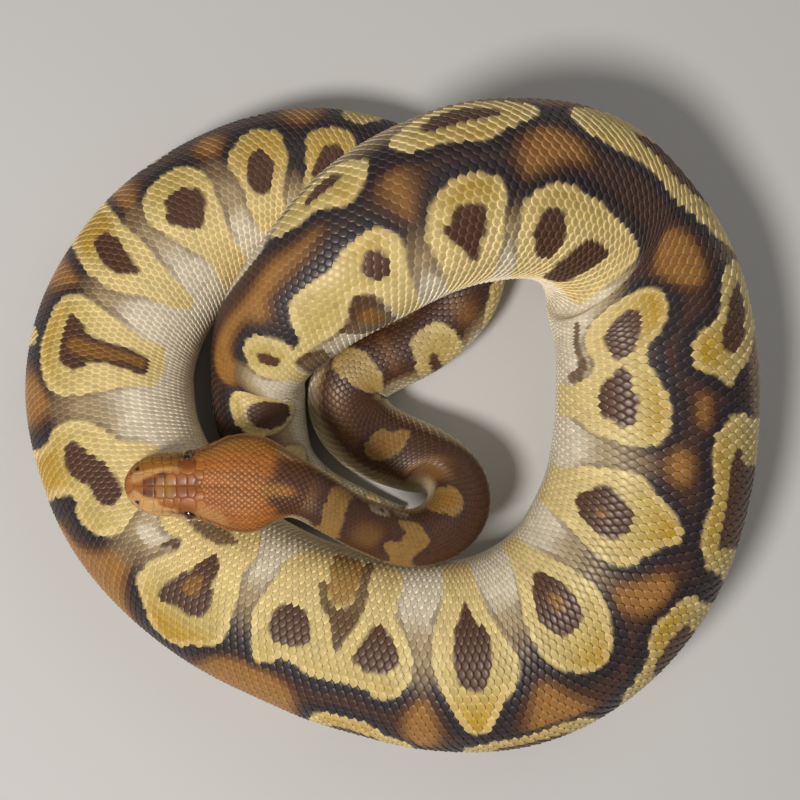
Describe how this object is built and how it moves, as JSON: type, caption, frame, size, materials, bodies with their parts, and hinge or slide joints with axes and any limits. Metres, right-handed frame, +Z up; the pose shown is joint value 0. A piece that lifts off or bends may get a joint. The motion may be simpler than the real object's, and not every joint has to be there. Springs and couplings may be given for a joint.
{
  "type": "coiled ball python",
  "caption": "Life-size ball python lying in a loose coil on the floor, with its thick body crossing over itself and its pear-shaped head resting on the coil.",
  "frame": {"origin": "under the middle of the coil's bounding box, on the floor", "axes": "+Z up from the floor; +X toward the side of the coil opposite the head; the head faces -X"},
  "size_m": [0.2546, 0.2252, 0.086],
  "materials": {
    "crown": "smooth small-scaled skin, low sheen, orange-brown",
    "jaw": "smooth scaled skin, low sheen, pale tan",
    "eye": "wet gloss, near black",
    "neck": "small-scaled skin, low sheen, dark brown with yellow bands",
    "trunk": "scaled skin, low sheen, dark brown with yellow blotches",
    "tail": "small-scaled skin, low sheen, dark brown and yellow"
  },
  "bodies": {
    "root": {"head": "crown", "lower_jaw": "jaw", "eye_left": "eye", "eye_right": "eye", "neck": "neck", "trunk_01": "trunk", "trunk_02": "trunk", "trunk_03": "trunk", "trunk_04": "trunk", "trunk_05": "trunk", "trunk_06": "trunk", "trunk_07": "trunk", "trunk_08": "trunk", "trunk_09": "trunk", "trunk_10": "trunk", "trunk_11": "trunk", "trunk_12": "trunk", "trunk_13": "trunk", "trunk_14": "trunk", "trunk_15": "trunk", "trunk_16": "trunk", "trunk_17": "trunk", "trunk_18": "trunk", "trunk_19": "trunk", "tail": "tail"}
  },
  "joints": []
}
